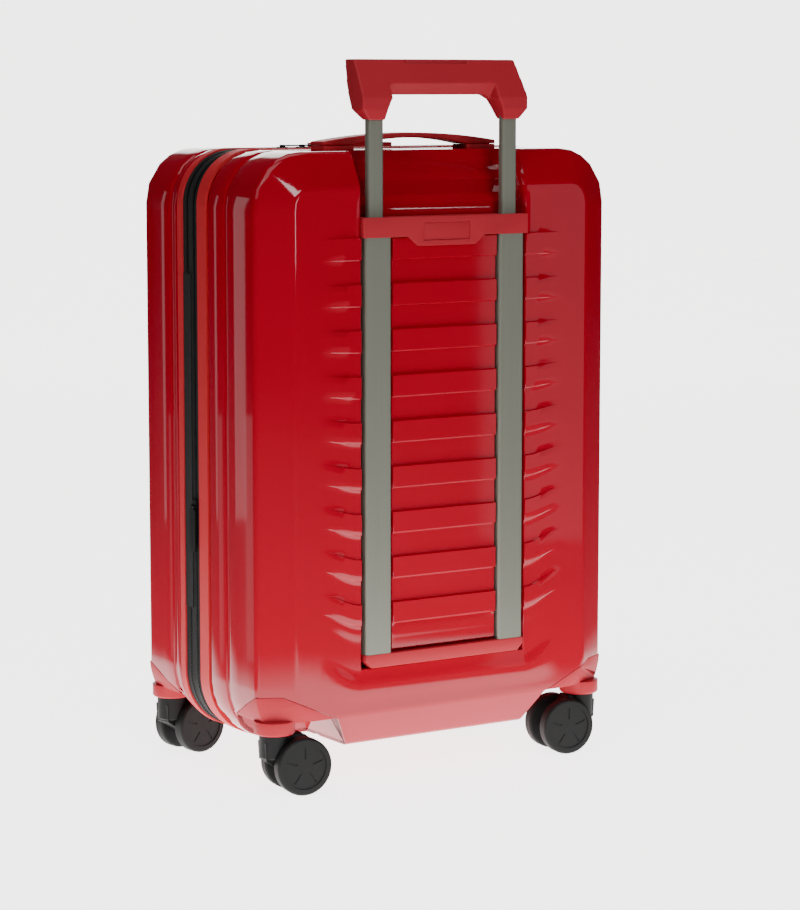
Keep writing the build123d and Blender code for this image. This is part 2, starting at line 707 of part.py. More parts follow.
def make_bracket(side):
    """A bracket let into the top of the back shell."""
    x0, x1 = sorted((side * bracket_inner, side * (carry_half - bracket_end)))
    half = bracket_width / 2
    flange = block(x0, x1, carry_y - half, carry_y + half, case_top, case_top + bracket_height)
    flange = fillet(flange.edges().filter_by(Axis.Z), bracket_round)
    return flange + bracket_plug(side, 0) - tongue(side, small_gap)


def lock_plug(spare):
    half = lock_half - lock_plug_inset[0] + spare
    side = lock_width / 2 - lock_plug_inset[1] + spare
    return block(-half, half, lock_y - side, lock_y + side, case_top - through_wall - lock_through,
                 case_top + 1)


def make_lock_body():
    """The lock housing with slots for the dials and the release, and the dials' shaft."""
    top = case_top + lock_proud
    case = block(-lock_half, lock_half, lock_y - lock_width / 2, lock_y + lock_width / 2, case_top, top)
    case = fillet(case.edges().filter_by(Axis.Z), lock_round)
    case += lock_plug(0)
    for x in dial_x:
        case -= Pos(x, lock_y, dial_z) * Rot(0, 90, 0) * Cylinder(
            dial_radius + dial_room[0], dial_width + dial_room[1])
    left, right, half, deep = release_slot
    case -= block(release_x - left, release_x + right, lock_y - half, lock_y + half, top - deep, top + 1)
    length = dial_x[-1] - dial_x[0] + 2 * dial_shaft_end
    middle = (dial_x[0] + dial_x[-1]) / 2
    shaft = Pos(middle, lock_y, dial_z) * Rot(0, 90, 0) * Cylinder(dial_shaft, length)
    return [case - shaft, shaft]


def make_dial(x):
    dial = Cylinder(dial_radius, dial_width)
    for step in range(dial_notches):
        notch = Rot(0, 0, 360 / dial_notches * step) * Pos(dial_radius, 0, 0)
        dial -= notch * Cylinder(dial_notch, dial_width + 1)
    dial -= Cylinder(dial_shaft + shaft_gap, dial_width + 1)
    return Pos(x, lock_y, dial_z) * Rot(0, 90, 0) * dial


def make_release():
    top = case_top + lock_proud
    left, right, half, deep = release_size
    return block(release_x - left, release_x + right, lock_y - half, lock_y + half,
                 top - deep, top + release_proud)


def make_slider(length, width):
    """A zip slider that lies on the tape, with ears and a pin for its tab; local x is the zip."""
    base = Pos(0, 0, slider_lift + slider_thick / 2) * Box(length, width, slider_thick)
    base = fillet(base.edges().filter_by(Axis.Z), slider_round)
    foot = Pos(0, (width - foot_width) / 2 - foot_sides, slider_lift / 2) * Box(
        length - 2 * foot_sides, foot_width, slider_lift)
    low, high = slider_lift + slider_thick / 2, tab_pin + ear_top
    ears = [Pos(0, side * ear_y, (low + high) / 2) * Box(ear_x, ear_width, high - low) for side in (-1, 1)]
    pin = Pos(0, 0, tab_pin) * Rot(90, 0, 0) * Cylinder(tab_pin_radius, tab_pin_length)
    return base + foot + ears + pin


def make_tab(length, width):
    """A zip tab that turns on the slider's pin and lies along local x."""
    plate = Pos((length + tab_shoulder) / 2, 0, tab_pin) * Box(length - tab_shoulder, width, tab_thick)
    plate = fillet(plate.edges().filter_by(Axis.Z), tab_round)
    neck_end = tab_shoulder + 2 * small_gap
    neck = Pos(neck_end / 2, 0, tab_pin) * Box(neck_end, tab_neck, tab_thick)
    eye = Pos(0, 0, tab_pin) * Rot(90, 0, 0) * Cylinder(tab_eye, tab_neck)
    bore = Pos(0, 0, tab_pin) * Rot(90, 0, 0) * Cylinder(tab_pin_radius + shaft_gap, 2 * tab_neck)
    return plate + neck + eye - bore


def on_top(x):
    """Where a slider lies on the tape along the top."""
    return Pos(x, zip_plane, case_top - tape_sink)


def on_side(z):
    """Where the expander slider lies on the tape down the side, with local x pointing down."""
    spot = Plane(origin=(-half_width + tape_sink, expander_plane, z), x_dir=(0, 0, -1), z_dir=(-1, 0, 0))
    return spot.location


def make_sleeve():
    """The folded gusset: a fabric ring behind the band, sewn to the middle frame."""
    start = expander_plane + zip_gap / 2 + seam
    sleeve = ring(sleeve_inset, sleeve_inset + sleeve_thick, sleeve_start, start + seam)
    return sleeve + ring(tape_sink + tape_thick, sleeve_inset, start, start + seam)


def tape(y0, y1):
    """One tape of the zipped band, with a raised edge where the teeth are."""
    return ring(tape_sink, tape_sink + tape_thick, y0, y1)


def make_hinge_tape(y0, y1):
    x = -half_width + tape_sink
    return block(x - seam, x, y0, y1, hinge_low, case_top - hinge_drop)


def make_straps():
    """Two elastic straps that cross on the lining floor, with the ends sewn down."""
    length = case_top - case_belly - strap_short
    middle = Pos(0, inner_floor + strap_thick / 2, middle_height)
    first, second = [middle * Rot(0, side * strap_turn, 0) * Box(strap_width, strap_thick, length)
                     for side in (-1, 1)]
    return first + second


def make_buckle():
    floor = inner_floor + strap_thick
    wide, tall = buckle_half
    buckle = block(-wide, wide, floor, floor + buckle_thick, middle_height - tall, middle_height + tall)
    return fillet(buckle.edges().filter_by(Axis.Y), buckle_round)


def make_pocket():
    """The flat zipped pocket on the floor of the front half."""
    floor = half_depth - shell_wall - lining_wall
    side, below, above = pocket_margin
    pocket = block(side - half_width, half_width - side, floor - pocket_thick, floor,
                   case_belly + below, case_top - above)
    return fillet(pocket.edges().filter_by(Axis.Y), pocket_round)


def both(make, *sizes):
    return [make(side, *sizes) for side in (-1, 1)]


def tube_pair(size, z0, z1):
    return [tube(size, z0, z1, side) for side in (-1, 1)]


def collar_pair(outside, inside, z0, z1):
    return [collar(outside, inside, z0, z1, side) for side in (-1, 1)]


def solids_of(made):
    """A list of the separate solids in whatever a function made."""
    pieces = made if isinstance(made, list) else [made]
    return [solid for piece in pieces for solid in piece.solids()]


def write(name, made):
    solids = solids_of(made)
    shape = solids[0] if len(solids) == 1 else Compound(children=solids)
    export_step(shape, f"parts/{name}.step")


back_shell = make_back_shell()
for side in (-1, 1):
    back_shell -= bracket_plug(side, press_gap)
front_shell = make_front_shell() - lock_plug(press_gap)

# ---- back half ----
write("back_shell", back_shell)
write("back_lining", make_back_lining())
write("back_welt", ring(-welt_proud, welt_sink, back_rim - welt_width, back_rim))
write("back_zip_tape", tape(back_rim, expander_plane - zip_gap / 2))
write("outer_tubes", tube_pair(outer_tube, bar_top, outer_top))
write("outer_bushes", collar_pair(outer_tube, middle_tube, outer_top - bush_length, outer_top))
write("base_bar", make_base_bar())
write("bezel", make_bezel())
write("bezel_plate", badge_plate(0))
write("carry_brackets", both(make_bracket))
write("guard_back_left", make_guard(-1, -1))
write("guard_back_right", make_guard(1, -1))
write("packing_straps", make_straps())
write("strap_buckle", make_buckle())
write("carry_handle", make_carry_handle())

# ---- pull handle ----
write("middle_tubes", tube_pair(middle_tube, middle_low, middle_top))
write("middle_bushes", collar_pair(middle_tube, inner_tube, middle_top - bush_length, middle_top))
write("inner_tubes", both(make_inner_tube))
write("latch_blocks", both(make_latch_block))
write("latch_pins", both(make_latch_pin))
write("grip", make_grip())
write("grip_button", make_grip_button())
write("push_yoke", make_push_yoke())

# ---- middle frame of the zipped band ----
write("middle_tape", tape(expander_plane + zip_gap / 2, zip_plane - zip_gap / 2))
write("gusset_sleeve", make_sleeve())
write("hinge_tape", make_hinge_tape(zip_plane - hinge_width, zip_plane - zip_gap / 2))
write("expander_slider", on_side(expander_slider_z) * make_slider(*expander_slider_size))
write("expander_tab", on_side(expander_slider_z) * make_tab(*expander_tab))

# ---- front half ----
write("front_shell", front_shell)
write("front_lining", make_front_lining())
write("front_welt", ring(-welt_proud, welt_sink, front_rim, front_rim + front_welt_width))
write("front_zip_tape", tape(zip_plane + zip_gap / 2, front_rim))
write("guard_front_left", make_guard(-1, 1))
write("guard_front_right", make_guard(1, 1))
write("lining_pocket", make_pocket())
write("lock_body", make_lock_body())
for number, x in enumerate(dial_x, 1):
    write(f"lock_dial_{number}", make_dial(x))
write("lock_release", make_release())
for number, x in enumerate(main_slider_x, 1):
    write(f"main_slider_{number}", on_top(x) * make_slider(*main_slider_size))
    write(f"main_tab_{number}", on_top(x) * make_tab(*main_tab))

# ---- casters ----
for name in caster_turns:
    seat = caster_frame(name)
    write(f"caster_bracket_{name}", seat * make_caster_bracket())
    write(f"caster_pins_{name}", [seat * pin for pin in make_caster_pins()])
    for side, hand in ((-1, "near"), (1, "far")):
        write(f"wheel_{hand}_{name}", [seat * piece for piece in make_wheel(side)])
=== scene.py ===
import json
import math

import bpy
import numpy as np
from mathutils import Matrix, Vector


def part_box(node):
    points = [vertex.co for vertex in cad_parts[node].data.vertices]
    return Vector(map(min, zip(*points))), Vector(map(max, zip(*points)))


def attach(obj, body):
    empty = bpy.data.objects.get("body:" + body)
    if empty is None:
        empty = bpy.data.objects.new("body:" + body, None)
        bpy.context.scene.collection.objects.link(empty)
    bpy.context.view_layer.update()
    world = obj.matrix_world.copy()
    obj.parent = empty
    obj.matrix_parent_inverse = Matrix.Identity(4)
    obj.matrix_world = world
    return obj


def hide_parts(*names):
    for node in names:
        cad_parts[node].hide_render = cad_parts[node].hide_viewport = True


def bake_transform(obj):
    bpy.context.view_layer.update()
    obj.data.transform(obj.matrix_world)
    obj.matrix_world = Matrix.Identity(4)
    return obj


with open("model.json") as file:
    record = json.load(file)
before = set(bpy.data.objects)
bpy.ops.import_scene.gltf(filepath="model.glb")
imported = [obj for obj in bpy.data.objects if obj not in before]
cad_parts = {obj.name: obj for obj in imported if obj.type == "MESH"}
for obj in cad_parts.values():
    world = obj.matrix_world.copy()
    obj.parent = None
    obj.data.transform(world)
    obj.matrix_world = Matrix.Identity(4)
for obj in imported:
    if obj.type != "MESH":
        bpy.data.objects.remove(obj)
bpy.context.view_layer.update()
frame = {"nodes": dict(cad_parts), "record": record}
MM = 0.001

# ---------------------------------------------------------------- sizes from the frame


def lows(node):
    """The low corner of a CAD node's box in millimetres."""
    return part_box(node)[0] / MM


def highs(node):
    """The high corner of a CAD node's box in millimetres."""
    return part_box(node)[1] / MM


half_width = highs("back_shell").x
case_top = highs("back_shell").z
case_belly = lows("back_shell").z
flat_face = 112.0                       # Y of each flat face
band_edge = 96.4                        # Y where the sloping band meets the wall
band_inset = 30.0
crease, shoulder = 12.0, 7.0            # radii where the sloping band begins and ends
plate_inset = 36.0                      # the ribbed plate ends this far inside the outline
shell_inset = 4.1                       # from the outline to the inside of a wall
corner_top, corner_low = 47.0, 55.0     # radii of the outline's corners
slot_inner, slot_outer = 53.6, 84.5     # sides of each tube slot
slot_floor = 97.5                       # Y of the floor of each slot
lip_steps = (0.8, 0.5, 0.25, 0.08, 0.0, -0.15)     # stations over the rounded lip of a recess
bar_floor = 104.0                       # Y of the floor of the base bar's recess
bar_recess_low = lows("base_bar").z - 0.7
bar_recess_top = highs("outer_tubes").z - 362.6
bezel_recess_low = lows("bezel").z + 7.4
bezel_top = highs("bezel").z
rib_pitch = 39.2
rib_top = 473.0
rib_height = 19.8
rib_relief = 2.3                        # from the bottom of a groove to the top of a band
rib_start = (128.0, 140.0)              # the bands grow out of the face between these heights
rib_rise = 16.0                         # how far the lowest ribs curl up at their ends
rib_reach = 126.0                       # the bands have faded away this far from the middle
tray_floor = bezel_top - 4.0
hinge_low, hinge_high = 147.0, 439.0    # ends of the fabric hinge on the left side
tooth_pitch = 2.0

# ---------------------------------------------------------------- materials


def srgb(code):
    """A colour from its sRGB hex code, in linear light."""
    parts = [int(code[i:i + 2], 16) / 255 for i in (1, 3, 5)]
    return tuple(c / 12.92 if c <= 0.04045 else ((c + 0.055) / 1.055) ** 2.4 for c in parts) + (1,)


def add(tree, kind, settings=None, links=None):
    """Adds a node, sets its properties and inputs in order, and links other sockets into it."""
    made = tree.nodes.new(kind)
    for key, value in (settings or {}).items():
        if isinstance(key, int) or key in made.inputs:
            made.inputs[key].default_value = value
        else:
            setattr(made, key, value)
    for key, socket in (links or {}).items():
        tree.links.new(socket, made.inputs[key])
    return made


def finish_material(name, **sockets):
    """A new material with its Principled shader; sockets set the shader's own inputs."""
    material = bpy.data.materials.new(name)
    material.use_nodes = True
    tree = material.node_tree
    shader = tree.nodes["Principled BSDF"]
    for key, value in sockets.items():
        shader.inputs[key.replace("_", " ")].default_value = value
    place = add(tree, "ShaderNodeTexCoord").outputs["Object"]
    return material, tree, shader, place


def per_metre(spacing):
    """A pattern's scale from the size of its features in millimetres."""
    return 1.0 / (spacing * MM)


def colour_and_relief(tree, shader, factor, low, high, height, strength, depth=0.1):
    """Colours a shader between low and high, and embosses it; depth is in millimetres."""
    tint = add(tree, "ShaderNodeMix", {"data_type": "RGBA", "A": srgb(low), "B": srgb(high)},
               {"Factor": factor})
    tree.links.new(tint.outputs["Result"], shader.inputs["Base Color"])
    emboss(tree, shader, height, strength, depth)


def emboss(tree, shader, height, strength, depth):
    """Raises the surface by height, a pattern from 0 to 1; depth is in millimetres."""
    bump = add(tree, "ShaderNodeBump", {"Strength": strength, "Distance": depth * MM}, {"Height": height})
    tree.links.new(bump.outputs["Normal"], shader.inputs["Normal"])


def moulded_gloss():
    """Glossy polycarbonate, moulded: deep colour under a clear skin with the faintest orange peel."""
    material, tree, shader, place = finish_material(
        "polycarbonate_gloss_red", Roughness=0.06, IOR=1.43)
    cloud = add(tree, "ShaderNodeTexNoise", {"Scale": per_metre(111.1), "Detail": 2.0}, {"Vector": place})
    peel = add(tree, "ShaderNodeTexNoise", {"Scale": per_metre(7.14), "Detail": 1.0}, {"Vector": place})
    colour_and_relief(tree, shader, cloud.outputs["Fac"], "#9E001C", "#A80021", peel.outputs["Fac"], 0.05)
    return material


def moulded_matte(name, low, high, roughness=0.5):
    """Moulded ABS or nylon with a spark-eroded skin: even, softly scattering, with a fine grain."""
    material, tree, shader, place = finish_material(name, Roughness=roughness, Specular_IOR_Level=0.2)
    cloud = add(tree, "ShaderNodeTexNoise", {"Scale": per_metre(45.5), "Detail": 3.0}, {"Vector": place})
    grain = add(tree, "ShaderNodeTexNoise", {"Scale": per_metre(0.625), "Detail": 2.0}, {"Vector": place})
    colour_and_relief(tree, shader, cloud.outputs["Fac"], low, high, grain.outputs["Fac"], 0.25)
    return material


def anodised_tube():
    """Aluminium tube, drawn and anodised: fine lines along its length under a satin skin."""
    material, tree, shader, place = finish_material("anodised_aluminium", Metallic=0.4, Roughness=0.42)
    squeeze = add(tree, "ShaderNodeMapping", {"Scale": (1.0, 1.0, 0.004)}, {"Vector": place})
    lines = add(tree, "ShaderNodeTexNoise", {"Scale": per_metre(0.5556), "Detail": 3.0},
                {"Vector": squeeze.outputs["Vector"]})
    colour_and_relief(tree, shader, lines.outputs["Fac"], "#75776B", "#828478", lines.outputs["Fac"], 0.06)
    return material


def woven(name, low, high, pitch, roughness=0.85, strength=0.5):
    """Woven polyester; pitch is the thread spacing in millimetres, drawn coarse enough to show."""
    material, tree, shader, place = finish_material(name, Roughness=roughness)
    scale = 3.0 * per_metre(pitch) / math.tau
    warp, weft = [add(tree, "ShaderNodeTexWave", {"Scale": scale, "bands_direction": way, "Distortion": 0.3},
                      {"Vector": place}) for way in ("DIAGONAL", "Y")]
    cross = add(tree, "ShaderNodeMath", {"operation": "MULTIPLY"},
                {0: warp.outputs["Fac"], 1: weft.outputs["Fac"]}).outputs["Value"]
    colour_and_relief(tree, shader, cross, low, high, cross, strength, depth=0.3)
    return material


def turned_steel():
    """Steel pins, turned and zinc plated: bright, with fine marks left by the tool."""
    material, tree, shader, place = finish_material("zinc_steel", Metallic=1.0, Roughness=0.3)
    shader.inputs["Base Color"].default_value = srgb("#A9ABAD")
    scratch = add(tree, "ShaderNodeTexNoise", {"Scale": per_metre(1.111), "Detail": 2.0}, {"Vector": place})
    emboss(tree, shader, scratch.outputs["Fac"], 0.08, 0.1)
    return material


gloss_red = moulded_gloss()
matte_red = moulded_matte("abs_matte_red", "#A8232E", "#B02632")
welt_red = woven("welt_binding_red", "#C01420", "#CC1E2A", pitch=0.6, strength=0.25, roughness=0.6)
matte_black = moulded_matte("nylon_black", "#0A0B0B", "#0F1010")
caster_grey = moulded_matte("nylon_charcoal", "#0C0D0D", "#121313", roughness=0.55)
tyre_black = moulded_matte("polyurethane_tyre", "#0E0F0E", "#141515", roughness=0.6)
tape_black = woven("zip_tape_black", "#050505", "#0D0D0E", pitch=0.7)
lining_grey = woven("lining_cloth", "#26272A", "#33353A", pitch=1.0)
webbing_black = woven("webbing_black", "#121213", "#2A2A2C", pitch=1.4)
tube_metal = anodised_tube()
steel = turned_steel()

# ---------------------------------------------------------------- mesh helpers


def new_piece(name, verts, faces, material, smooth=30.0):
    """A mesh object from millimetre vertices, shaded smooth below an angle."""
    mesh = bpy.data.meshes.new(name)
    mesh.from_pydata([tuple(v) for v in np.asarray(verts, float) * MM], [], [tuple(f) for f in faces])
    mesh.validate()
    piece = bpy.data.objects.new(name, mesh)
    bpy.context.scene.collection.objects.link(piece)
    piece.data.materials.append(material)
    select_only(piece)
    bpy.ops.object.mode_set(mode="EDIT")
    bpy.ops.mesh.select_all(action="SELECT")
    bpy.ops.mesh.remove_doubles(threshold=1e-6)
    bpy.ops.mesh.normals_make_consistent(inside=False)
    bpy.ops.object.mode_set(mode="OBJECT")
    bpy.ops.object.shade_smooth_by_angle(angle=math.radians(smooth))
    return piece


def select_only(*pieces):
    """Selects these pieces and nothing else; the first is active."""
    bpy.ops.object.select_all(action="DESELECT")
    for piece in pieces:
        piece.select_set(True)
    bpy.context.view_layer.objects.active = pieces[0]


def apply_all(piece):
    """Applies every modifier of a piece, in order."""
    select_only(piece)
    for modifier in list(piece.modifiers):
        bpy.ops.object.modifier_apply(modifier=modifier.name)


def shade(piece, angle):
    """Smooth shading across edges that turn less than an angle in degrees."""
    select_only(piece)
    bpy.ops.object.shade_smooth_by_angle(angle=math.radians(angle))


def combine(piece, other, operation):
    """Applies a boolean with another piece, and removes that one."""
    modifier = piece.modifiers.new("combine", "BOOLEAN")
    modifier.object = other
    modifier.operation = operation
    modifier.solver = "EXACT"
    apply_all(piece)
    bpy.data.objects.remove(other)


def cut(piece, *cutters):
    """Takes the cutters out of a piece and removes them."""
    for cutter in cutters:
        combine(piece, cutter, "DIFFERENCE")


def prism(name, outline, low, high, axis, material=matte_black):
    """A closed prism of an outline between two stations along X or Y."""
    count = len(outline)
    if axis == "X":
        verts = [(s, a, b) for s in (low, high) for a, b in outline]
    else:
        verts = [(a, s, b) for s in (low, high) for a, b in outline]
    faces = [tuple(range(count)), tuple(range(2 * count - 1, count - 1, -1))]
    faces += [(i, (i + 1) % count, count + (i + 1) % count, count + i) for i in range(count)]
    return new_piece(name, verts, faces, material)


def belong(piece, body):
    """The body of a piece."""
    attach(piece, body)
    return piece


# ---------------------------------------------------------------- the outline of the case


def corner_centres(d):
    """The centre and radius of each outline corner, d inside the outline."""
    x, top, low = half_width, case_top, case_belly
    return {(1, 1): (x - corner_top, top - corner_top, corner_top - d),
            (-1, 1): (-x + corner_top, top - corner_top, corner_top - d),
            (-1, -1): (-x + corner_low, low + corner_low, corner_low - d),
            (1, -1): (x - corner_low, low + corner_low, corner_low - d)}


def outline_points(spacing=4.0, corner_steps=14):
    """Base points on the outline of the case with their outward directions, anticlockwise."""
    points, normals = [], []
    order = [((1, -1), -90), ((1, 1), 0), ((-1, 1), 90), ((-1, -1), 180)]
    centres = corner_centres(0)
    for index, (corner, start) in enumerate(order):
        cx, cz, radius = centres[corner]
        for step in range(corner_steps + 1):
            angle = math.radians(start + 90 * step / corner_steps)
            normals.append((math.cos(angle), math.sin(angle)))
            points.append((cx + radius * math.cos(angle), cz + radius * math.sin(angle)))
        nx, nz, nr = centres[order[(index + 1) % 4][0]]
        end_angle = math.radians(start + 90)
        a = np.array(points[-1])
        b = np.array((nx + nr * math.cos(end_angle), nz + nr * math.sin(end_angle)))
        count = max(int(np.linalg.norm(b - a) / spacing), 2)
        for step in range(1, count):
            points.append(tuple(a + (b - a) * step / count))
            normals.append(normals[-1] if step > 1 else (math.cos(end_angle), math.sin(end_angle)))
    return np.array(points), np.array(normals)


# ---------------------------------------------------------------- shells


def spread(stops, step):
    """Grid stations that hit every stop, with no gap over step."""
    out = [stops[0]]
    for a, b in zip(stops, stops[1:]):
        count = max(1, math.ceil((b - a) / step))
        out += [a + (b - a) * k / count for k in range(1, count + 1)]
    return np.array(out)


def smooth_step(x, low, high):
    """0 below low, 1 above high, smooth between."""
    t = np.clip((x - low) / (high - low), 0, 1)
    return t * t * (3 - 2 * t)


def rib_lines():
    """The upper and lower edge of each raised band, highest first."""
    return [(rib_top - k * rib_pitch, rib_top - k * rib_pitch - rib_height) for k in range(9)]


def rib_chamfer(high):
    """Height of the slope under a band, larger on the lower bands."""
    return 0.9 + 1.0 * (rib_top - high) / 350


def rib_height_at(z):
    """1 on a raised band, 0 between bands; upper edges are crisp, lower ones chamfered."""
    level = np.zeros_like(z)
    for high, low in rib_lines():
        chamfer = rib_chamfer(high)
        band = smooth_step(z, low, low + chamfer) * (1 - smooth_step(z, high - 1.0, high))
        level = np.maximum(level, band)
    return level


def rib_curl(x, z):
    """How far a rib line rises on the flanks: level at the top, curling up towards the bottom."""
    lift = rib_rise * np.clip((rib_top - 40 - z) / 330, 0, 1) ** 1.25 * smooth_step(z, 72, 92)
    away = np.abs(x)
    return lift * smooth_step(away, slot_outer, rib_reach) * (1 - smooth_step(away, 128, 143))


def edge_drop(distance, depth, radius=0.8):
    """Depth of a recess beside its edge: distance is positive outside it, with a rounded lip."""
    lip = radius - np.sqrt(np.maximum(radius ** 2 - (radius - np.clip(distance, 0, radius)) ** 2, 0))
    wall = np.maximum(lip, depth * np.clip(-distance / 0.15, 0, 1))
    return np.where(distance >= 0, lip, np.where(distance > -0.16, wall, depth))


def back_relief(x, z):
    """Y of the back face: ribs, tube slots, and the seats of the bezel and the base bar."""
    away = np.abs(x)
    fade = np.where(away < slot_outer, 1.0, 0.6 * (1 - smooth_step(away, slot_outer + 6, rib_reach)))
    ribs = (rib_height_at(z) - 0.5) * rib_relief * fade * smooth_step(z, *rib_start)
    relief = ribs + smile_lines(x, z)
    slot = np.maximum(np.maximum(slot_inner - away, away - slot_outer), bar_recess_low - z)
    slot_cut = edge_drop(slot, flat_face - slot_floor)
    bar = np.maximum(away - slot_outer, np.maximum(bar_recess_low - z, z - bar_recess_top))
    bar_cut = edge_drop(bar, flat_face - bar_floor)
    seat = np.maximum(away - slot_outer - 0.8, bezel_recess_low - z)
    seat_cut = edge_drop(seat, flat_face - slot_floor)
    drop = np.maximum(np.maximum(slot_cut, bar_cut), seat_cut)
    return -flat_face - np.where(drop > 0.9, 0, relief) + drop


def smile_lines(x, z):
    """Two soft steps that run under the base bar and curl up at both sides."""
    away = np.abs(x)
    fade = 1 - smooth_step(away, 96, rib_reach)
    upper = smooth_step(z, 93.5, 96.5) * (1 - smooth_step(z, 126, 136))
    lower = smooth_step(z, 76, 78.5) * (1 - smooth_step(z, 88, 93.5))
    return (-1.0 * upper + 0.8 * lower) * fade


def front_relief(x, z):
    """Y of the front face before it is mirrored: ribs that fade out at both sides."""
    fade = 1 - smooth_step(np.abs(x), 104, rib_reach)
    return -flat_face - (rib_height_at(z) - 0.5) * rib_relief * fade * smooth_step(z, *rib_start)


def shell_profile(rim, start, front):
    """(inset, y) down the outside of a half, round its rim and up the inside."""
    lean = math.atan2(flat_face - band_edge, band_inset)
    flat_end = band_inset + crease * math.tan(lean / 2)
    wall_start = -band_edge + shoulder * math.tan((math.pi / 2 - lean) / 2)
    points = [(plate_inset, -flat_face)]
    points += [(flat_end - crease * math.sin(a), -flat_face + crease * (1 - math.cos(a)))
               for a in np.linspace(0, lean, 7)]
    points += [(shoulder * (1 - math.sin(a)), wall_start - shoulder * math.cos(a))
               for a in np.linspace(lean, math.pi / 2, 9)]
    points += [(0.0, -80.0), (0.0, -66.0), (0.0, -52.6), (0.25, -51.5), (1.5, -50.6), (1.7, -49.6),
               (1.7, -45.6), (1.5, -44.7), (0.3, -44.0), (0.0, -42.8), (0.0, (start - 44.4) / 2)]
    points += [(0.0, start - 1.6), (0.2, start - 0.8), (1.6, start), (1.6, rim)]
    back_inside = [(shell_inset, 2.2 - slot_floor)]
    front_inside = [(shell_inset, -94.8), (32.0, -109.2)]
    return points + [(shell_inset, rim)] + (front_inside if front else back_inside)


def round_plate(X, Z, curled, corners):
    """Brings the square corners of the plate's grid onto arcs."""
    for (sx, sz), (cx, cz, _) in corners.items():
        px, pz = (X - cx) * sx, (Z - cz) * sz
        inside = (px > 0) & (pz > 0)
        reach = np.maximum(px, pz)
        t = np.where(px >= pz, np.divide(pz, px, out=np.zeros_like(px), where=px > 0),
                     np.divide(px, pz, out=np.zeros_like(px), where=pz > 0))
        angle = np.where(px >= pz, t * math.pi / 4, math.pi / 2 - t * math.pi / 4)
        X = np.where(inside, cx + sx * reach * np.cos(angle), X)
        curled = np.where(inside, cz + sz * reach * np.sin(angle), curled)
    return X, curled


def way_out(x, z, corners):
    """The direction from a point on the plate's edge straight out to the outline."""
    for (sx, sz), (cx, cz, _) in corners.items():
        if (x - cx) * sx > -1e-6 and (z - cz) * sz > -1e-6:
            away = np.array((x - cx, z - cz))
            return away / np.linalg.norm(away)
    on_side = abs(abs(x) - (half_width - plate_inset)) < 1e-6
    return np.array((math.copysign(1, x), 0)) if on_side else np.array((0, 1.0 if z > 200 else -1.0))


def shell(name, relief, rim, start, columns, rows, front=False):
    """A half shell: a grid for the ribbed plate, rings round it for the band and the wall."""
    plate_x = half_width - plate_inset
    low, high = case_belly + plate_inset, case_top - plate_inset
    X, Z = np.meshgrid(columns, rows)
    corners = corner_centres(plate_inset)
    X, curled = round_plate(X, Z, Z + rib_curl(X, Z), corners)
    on_edge = ((np.abs(columns)[None, :] > plate_x - 0.01) | (rows[:, None] < low + 0.01)
               | (rows[:, None] > high - 0.01))
    Y = np.where(on_edge, -flat_face, relief(X, Z))
    n, m = len(columns), len(rows)
    verts = [(X[j, i], Y[j, i], curled[j, i]) for j in range(m) for i in range(n)]
    faces = [(j * n + i, j * n + i + 1, (j + 1) * n + i + 1, (j + 1) * n + i)
             for j in range(m - 1) for i in range(n - 1)]
    rim_ids = [(0, i) for i in range(n - 1)] + [(j, n - 1) for j in range(m - 1)]
    rim_ids += [(m - 1, i) for i in range(n - 1, 0, -1)] + [(j, 0) for j in range(m - 1, 0, -1)]
    border = [j * n + i for j, i in rim_ids]
    outward = [way_out(verts[k][0], verts[k][2], corners) for k in border]
    previous = border
    for inset, y in shell_profile(rim, start, front)[1:]:
        base = len(verts)
        for k, direction in zip(border, outward):
            x, _, z = verts[k]
            spot = np.array((x, z)) + direction * (plate_inset - inset)
            verts.append((spot[0], y, spot[1]))
        ring = list(range(base, base + len(border)))
        faces += [(previous[i], previous[i - 1], ring[i - 1], ring[i]) for i in range(len(border))]
        previous = ring
    faces.append(tuple(previous))
    verts = np.array(verts)
    if front:
        verts[:, 1] *= -1
    return new_piece(name, verts, faces, gloss_red, smooth=40)


def well_cutter(side_x, side_y, grow=0.0):
    """The corner that a guard and its caster take out of a shell."""
    near, past = 5, 300                 # the cutter runs from inside the case to well outside it
    # the opening as it is seen from behind, and as it is seen from the side
    across = [(88, -9), (88, 30), (108, 63), (160, 87), (260, 87), (260, -9)]
    along = [(27, -9), (27, 30), (47, 63), (94, 87), (260, 87), (260, -9)]
    first = prism("across", [((x - grow) * side_x, z + grow - 1) for x, z in across],
                  *sorted((side_y * near, side_y * past)), "Y")
    second = prism("along", [((y - grow) * side_y, z + grow - 1) for y, z in along],
                   *sorted((side_x * near, side_x * past)), "X")
    combine(first, second, "INTERSECT")
    return first


def line_well(name, side_x, side_y, body):
    """The red wall of a corner well, between the guard and the hollow of the shell."""
    points, normals = outline_points()
    # a solid core 1 mm inside the shell: (inset, y) at the face, at the band's end and at the rim
    rings = [(30.5, -110.9), (1.0, -95.9), (1.0, -2.0 if side_y < 0 else -28.6)]
    count = len(points)
    verts = [(point[0] - normal[0] * inset, -side_y * y, point[1] - normal[1] * inset)
             for inset, y in rings for point, normal in zip(points, normals)]
    faces = [(k + i, k + (i + 1) % count, k + count + (i + 1) % count, k + count + i)
             for k in (0, count) for i in range(count)]
    faces += [tuple(range(count)), tuple(range(3 * count - 1, 2 * count - 1, -1))]
    liner = new_piece(name, verts, faces, gloss_red)
    combine(liner, well_cutter(side_x, side_y, grow=2.4), "INTERSECT")
    cut(liner, well_cutter(side_x, side_y))
    shade(liner, 30)
    return belong(liner, body)


for side_x, side in ((-1, "left"), (1, "right")):
    line_well(f"well_back_{side}", side_x, -1, "back_half")
    line_well(f"well_front_{side}", side_x, 1, "front_half")


